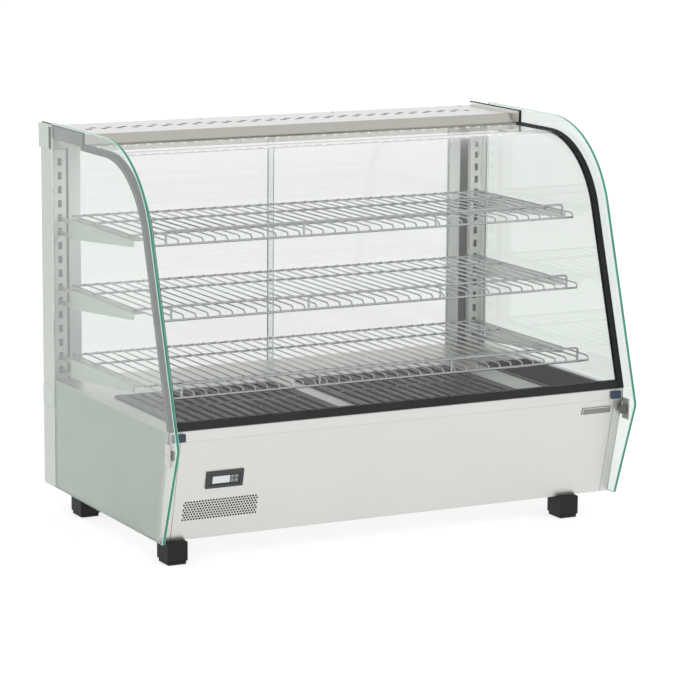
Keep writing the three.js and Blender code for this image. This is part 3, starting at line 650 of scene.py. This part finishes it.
# ---- Roof ----
ROOF = {"rear": 285 * MM, "front": 134 * MM, "top": 659.5 * MM}
FASCIA = {"y": 104 * MM, "z": 645 * MM, "lip": 18 * MM}
ROOF_HOLES = {"rows": (202 * MM, 217 * MM), "pitch": 28.3 * MM, "radius": 6.5 * MM, "reach": 370 * MM}
HOLE_ROOM = 10 * MM
# Size and place of the dark block under the roof holes: painted shade seen through them.
HOLE_SHADE = {"beyond": 14 * MM, "ends": 4 * MM, "below": (4 * MM, 3 * MM)}
ROOF_HALF = LINER_X - 0.8 * MM


def roof():
    """Top sheet with two staggered rows of round holes, grey hole walls as painted shade, and a dark block
    below them as painted shade seen through the holes.
    """
    first, last = ROOF_HOLES["rows"]
    holes = []
    for row, y in enumerate(ROOF_HOLES["rows"]):
        x = row * ROOF_HOLES["pitch"] / 2 - ROOF_HOLES["reach"]
        while x <= ROOF_HOLES["reach"]:
            holes.append(circle(x, y, ROOF_HOLES["radius"], 14))
            x += ROOF_HOLES["pitch"]
    matrix = Matrix.Translation((0, 0, ROOF["top"] - SHEET / 2))
    outline = rectangle(-ROOF_HALF, ROOF_HALF, ROOF["front"], ROOF["rear"])
    sheet = plate_mesh("roof_sheet", outline, holes, SHEET, matrix, 0.1 * MM)
    # The walls of the holes take the grey: painted shade inside the holes.
    for face in sheet.polygons:
        near_a_hole = first - HOLE_ROOM < face.center.y < last + HOLE_ROOM
        if near_a_hole and abs(face.normal.z) < 0.5:
            face.material_index = 1
    link("roof_sheet", sheet, (ROOF_STEEL, GREY), replaces=("top_panel",))
    hole_shade_half = ROOF_HALF - HOLE_SHADE["ends"]
    hole_shade_low = (-hole_shade_half, first - HOLE_SHADE["beyond"], ROOF["top"] - HOLE_SHADE["below"][0])
    hole_shade_high = (hole_shade_half, last + HOLE_SHADE["beyond"], ROOF["top"] - HOLE_SHADE["below"][1])
    link("roof_hole_shade", block_mesh("roof_hole_shade", hole_shade_low, hole_shade_high), (GREY,))


def fascia():
    """The front of the roof folds down and forward, with a lip turned back below."""
    run = ROOF["front"] - FASCIA["y"]
    drop = ROOF["top"] - FASCIA["z"]
    length = math.hypot(run, drop)
    turn = Matrix.Rotation(math.atan2(drop, run), 4, "X")
    matrix = Matrix.Translation((0, FASCIA["y"], FASCIA["z"])) @ turn @ Matrix.Translation((0, 0, -SHEET / 2))
    outline = rectangle(-ROOF_HALF, ROOF_HALF, 0.6 * MM, length - 0.4 * MM)
    face = plate_mesh("fascia_face", outline, [], SHEET, matrix, 0.1 * MM)
    front, rear = FASCIA["y"] + 1.2 * MM, FASCIA["y"] + FASCIA["lip"]
    bottom, top = FASCIA["z"], FASCIA["z"] + SHEET
    lip = prism_mesh("fascia_lip", rectangle(front, rear, bottom, top), -ROOF_HALF, ROOF_HALF, along_x)
    link("roof_fascia", join_meshes("roof_fascia", [face, lip]), (FASCIA_STEEL,))


# The left end plate reaches further forward than the right one.
END_REACH = {"left": 12 * MM, "right": 0}
TRACK_TOP = 657.8 * MM
EDGING = {"strip": 1.0 * MM, "bar": 4 * MM, "cover": 0.8 * MM, "out": 0.2 * MM, "in": 1.2 * MM}
# Size and place of the painted shadow in the gap beside the upper track cap.
CAP_GAP_SHADOW = {"inset": 2 * MM, "end": 13 * MM, "top": 3 * MM, "sunk": 0.4 * MM, "out": 0.2 * MM}


def end_edging(name, side, front, low, high):
    """Rubber along the front and the top of an end plate."""
    strip = EDGING["strip"]
    corner = front + EDGING["bar"]
    x0, x1 = sorted((side * (high[0] + EDGING["out"]), side * (high[0] - SHEET - EDGING["in"])))
    bar = block_mesh("bar", (x0, front - strip, low[2]), (x1, corner, high[2] + strip))
    top = block_mesh("top", (x0, corner, high[2] - EDGING["cover"]), (x1, high[1], high[2] + strip))
    soften(link(f"end_edging_{name}", join_meshes(f"end_edging_{name}", [bar, top]), (RUBBER,)), 0.3 * MM)


def cap_gap_shadow(name, side):
    """Painted shadow: a dark block in the gap beside the upper track cap."""
    low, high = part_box(f"track_cap_upper_{name}")
    x0, x1 = sorted((side * (OUTER_X - CAP_GAP_SHADOW["sunk"]), side * (OUTER_X + CAP_GAP_SHADOW["out"])))
    cap_shadow_low = (x0, low[1] + CAP_GAP_SHADOW["inset"], low[2] + CAP_GAP_SHADOW["inset"])
    cap_shadow_high = (x1, low[1] + CAP_GAP_SHADOW["end"], high[2] - CAP_GAP_SHADOW["top"])
    link(f"cap_gap_shadow_{name}", block_mesh(f"cap_gap_shadow_{name}", cap_shadow_low, cap_shadow_high), (PAINTED_RECESS_SHADE,))


def end_plates():
    """The upright end pieces of the roof, each with its edging and the painted shadow in the gap behind it.
    """
    low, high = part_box("top_panel")
    for name, side in SIDES.items():
        front = low[1] - END_REACH[name]
        outline = [(front, low[2]), (GLASS_REAR, low[2]), (GLASS_REAR, TRACK_TOP), (high[1], TRACK_TOP),
                   (high[1], high[2]), (front, high[2])]
        x0, x1 = sorted((side * high[0], side * (high[0] - SHEET)))
        plate = prism_mesh(f"end_plate_{name}", outline, x0, x1, along_x)
        # Every face but the inner one takes the dark copy of the steel as painted shade; the inner face takes
        # the bright steel.
        for face in plate.polygons:
            if face.normal.x * side < 0:
                face.material_index = 1
        soften(link(f"end_plate_{name}", plate, (SHADED_END_STEEL, STEEL_X)), 0.3 * MM)
        end_edging(name, side, front, low, high)
        cap_gap_shadow(name, side)


# ---- Screws ----
def screw(name, centre, axis, radius, body=CASE):
    """Pan-head screw with a socket, its head standing out along axis."""
    socket = 0.45 * radius
    profile = [(radius, 0), (radius, 0.25 * radius), (0.8 * radius, 0.5 * radius), (socket, 0.56 * radius),
               (socket, 0.2 * radius), (0, 0.12 * radius)]
    return link(name, spin_mesh(name, profile, centre, axis, 20), (SCREW,), body)


# Heights and places of the screws, in millimetres, and the radii of their heads.
POST_SCREW_Z = (60, 150, 240, 430, 600)
REAR_SCREW_Z = (52, 165)
REAR_SCREW_X = (-395, -200, 0, 200, 395)
ROOF_SCREW_X = (-390, -130, 130, 390)
BIG_HEAD, ROOF_HEAD, SMALL_HEAD = 3.2 * MM, 3.0 * MM, 1.8 * MM


def screws():
    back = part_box("rear_post_right")[1][1]
    post_x = (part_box("rear_post_right")[0][0] + OUTER_X) / 2
    for name, side in SIDES.items():
        for row, z in enumerate(POST_SCREW_Z):
            screw(f"post_screw_{name}_{row + 1}", (side * post_x, back, z * MM), (0, 1, 0), BIG_HEAD)
    panel_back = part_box("rear_panel")[1][1]
    for row, z in enumerate(REAR_SCREW_Z):
        for column, x in enumerate(REAR_SCREW_X):
            screw(f"rear_screw_{row + 1}_{column + 1}", (x * MM, panel_back, z * MM), (0, 1, 0), BIG_HEAD)
    low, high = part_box("switch_plate")
    for column, x in enumerate((low[0] + 3.2 * MM, high[0] - 3.2 * MM)):
        screw(f"switch_screw_{column + 1}", (x, high[1], low[2] + 16 * MM), (0, 1, 0), SMALL_HEAD)
    roof_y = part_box("door_track_upper")[1][1] - 14 * MM
    for column, x in enumerate(ROOF_SCREW_X):
        screw(f"roof_screw_{column + 1}", (x * MM, roof_y, ROOF["top"]), (0, 0, 1), ROOF_HEAD)


# ---- Lamp ----
LED = {"pitch": 22 * MM, "ends": 20 * MM, "setback": 4 * MM, "drop": 3 * MM, "aim": (0, -0.6, -1)}
LED_PROFILE = [(0, 2.6 * MM), (2.0 * MM, 2.2 * MM), (3.2 * MM, 1.0 * MM), (3.4 * MM, 0), (0, 0)]


def lamp():
    low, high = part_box("led_lamp")
    base = low[2] + LED["drop"]
    shell = block_mesh("lamp_channel", (low[0], low[1], base), high)
    channel = link("lamp_channel", shell, (DIFFUSER,), replaces=("led_lamp",))
    soften(channel, 1.5 * MM, 3)
    count = int((high[0] - low[0] - LED["ends"]) / LED["pitch"])
    dots = []
    for i in range(count + 1):
        centre = ((i - count / 2) * LED["pitch"], low[1] + LED["setback"], base)
        dots.append(spin_mesh(f"led_{i}", LED_PROFILE, centre, LED["aim"], 12))
    link("lamp_leds", join_meshes("lamp_leds", dots), (LIGHT,))


# ---- Shelves ----
WIRE = {"cross": 1.35 * MM, "rail": 1.9 * MM, "front": 2.0 * MM}
CROSS_WIRES = 37
RAIL_INSET = 90 * MM
DECK_RISE = 7.6 * MM
GUARD_HALF = 372.5 * MM
GUARD_BEND = 3 * MM


def cross_wires(half, front, rear, base, deck):
    """Wires from the rear to the front rail, where each bends down over the deck's edge."""
    runs = []
    for i in range(CROSS_WIRES):
        x = -half + 2 * half * i / (CROSS_WIRES - 1)
        path = [
            (x, rear, deck), (x, front + 6 * MM, deck), (x, front + 2 * MM, deck - 2 * MM), (x, front, base),
        ]
        runs.append((path, WIRE["cross"]))
    return runs


def guard_wires(front, base, top):
    """The low guard along the front: one bent hoop and two uprights."""
    post, bend = GUARD_HALF, GUARD_BEND
    hoop = [(-post, front, base), (-post, front, top - bend), (-post + bend, front, top),
            (post - bend, front, top), (post, front, top - bend), (post, front, base)]
    runs = [(hoop, WIRE["front"])]
    for x in (-post / 3, post / 3):
        runs.append(([(x, front, base), (x, front, top)], WIRE["front"]))
    return runs


def shelf_wires(place, body):
    low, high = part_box(f"shelf_{place}")
    edge = WIRE["front"]
    front, rear = low[1] + edge, high[1] - edge
    base, top = low[2] + edge, high[2] - edge
    half = high[0] - edge
    deck = base + DECK_RISE
    frame_z = deck - 2.0 * MM
    runs = cross_wires(half, front, rear, base, deck)
    for y in (rear, rear - RAIL_INSET, front + RAIL_INSET):
        runs.append(([(-half, y, frame_z), (half, y, frame_z)], WIRE["rail"]))
    runs.append(([(-half, front, base), (half, front, base)], WIRE["front"]))
    runs += guard_wires(front, base, top)
    name = f"shelf_wires_{place}"
    link(name, wire_mesh(name, runs, 3), (CHROME,), body, (f"shelf_{place}",))


# ---- Floor ----
def grilles():
    for name in SIDES:
        dress(f"floor_grille_{name}", GRILLE, 0.5 * MM)
    dress("water_pan", GRILLE, 0.4 * MM)


# ---- Stage, light and camera ----
def stage():
    mesh = prism_mesh("floor", rectangle(-30, 30, -30, 30), -0.02, 0, along_z)
    floor = bpy.data.objects.new("floor", mesh)
    bpy.context.collection.objects.link(floor)
    made, shader = principled("floor_white", (0.35, 0.35, 0.35), 0.0, 0.9)
    shader.inputs["Emission Color"].default_value = (1, 1, 1, 1)
    shader.inputs["Emission Strength"].default_value = 0.72
    mesh.materials.append(made)


def area_light(name, location, target, size, power):
    data = bpy.data.lights.new(name, "AREA")
    data.shape = "RECTANGLE"
    data.size, data.size_y = size
    data.energy = power
    lamp_object = bpy.data.objects.new(name, data)
    bpy.context.collection.objects.link(lamp_object)
    lamp_object.location = location
    lamp_object.visible_camera = False
    lamp_object.visible_glossy = False
    lamp_object.visible_transmission = False
    aim = Vector(target) - Vector(location)
    lamp_object.rotation_euler = aim.to_track_quat("-Z", "Y").to_euler()


def lights():
    world = bpy.data.worlds.new("studio")
    bpy.context.scene.world = world
    world.use_nodes = True
    world.node_tree.nodes["Background"].inputs["Color"].default_value = (1, 1, 1, 1)
    world.node_tree.nodes["Background"].inputs["Strength"].default_value = 1.0
    area_light("key", (1.5, -3.0, 3.0), (0, 0, 0.3), (2.5, 2.0), 22)
    area_light("top", (0, 0.3, 3.2), (0, 0, 0), (3.0, 2.5), 14)
    area_light("case_lamp", (0, 0.10, 0.60), (0, 0.26, 0.38), (0.74, 0.03), 0.75)
    bpy.context.scene.view_settings.view_transform = "Standard"


def camera():
    azimuth, pitch, roll = math.radians(27.39), math.radians(10.41), math.radians(0.38)
    level = math.cos(pitch)
    ahead = Vector((math.sin(azimuth) * level, math.cos(azimuth) * level, -math.sin(pitch)))
    right = Vector((math.cos(azimuth), -math.sin(azimuth), 0))
    up = right.cross(ahead)
    turned_right = right * math.cos(roll) + up * math.sin(roll)
    turned_up = up * math.cos(roll) - right * math.sin(roll)
    rotation = Matrix((turned_right, turned_up, -ahead)).transposed()
    data = bpy.data.cameras.new("camera")
    data.sensor_width = 36
    data.lens = 161.6
    data.clip_end = 200
    eye = bpy.data.objects.new("camera", data)
    eye.matrix_world = Matrix.Translation((-2.3589, -4.5666, 1.2453)) @ rotation.to_4x4()
    bpy.context.collection.objects.link(eye)
    bpy.context.scene.camera = eye


dress_case()
side_glasses()
front_pane()
doors()
pull_recess_shades()
front_panel()
badge_border()
roof()
fascia()
end_plates()
screws()
lamp()
for place, body in (("top", "upper_shelf"), ("middle", "middle_shelf"), ("bottom", "lower_shelf")):
    shelf_wires(place, body)
grilles()
stage()
lights()
camera()
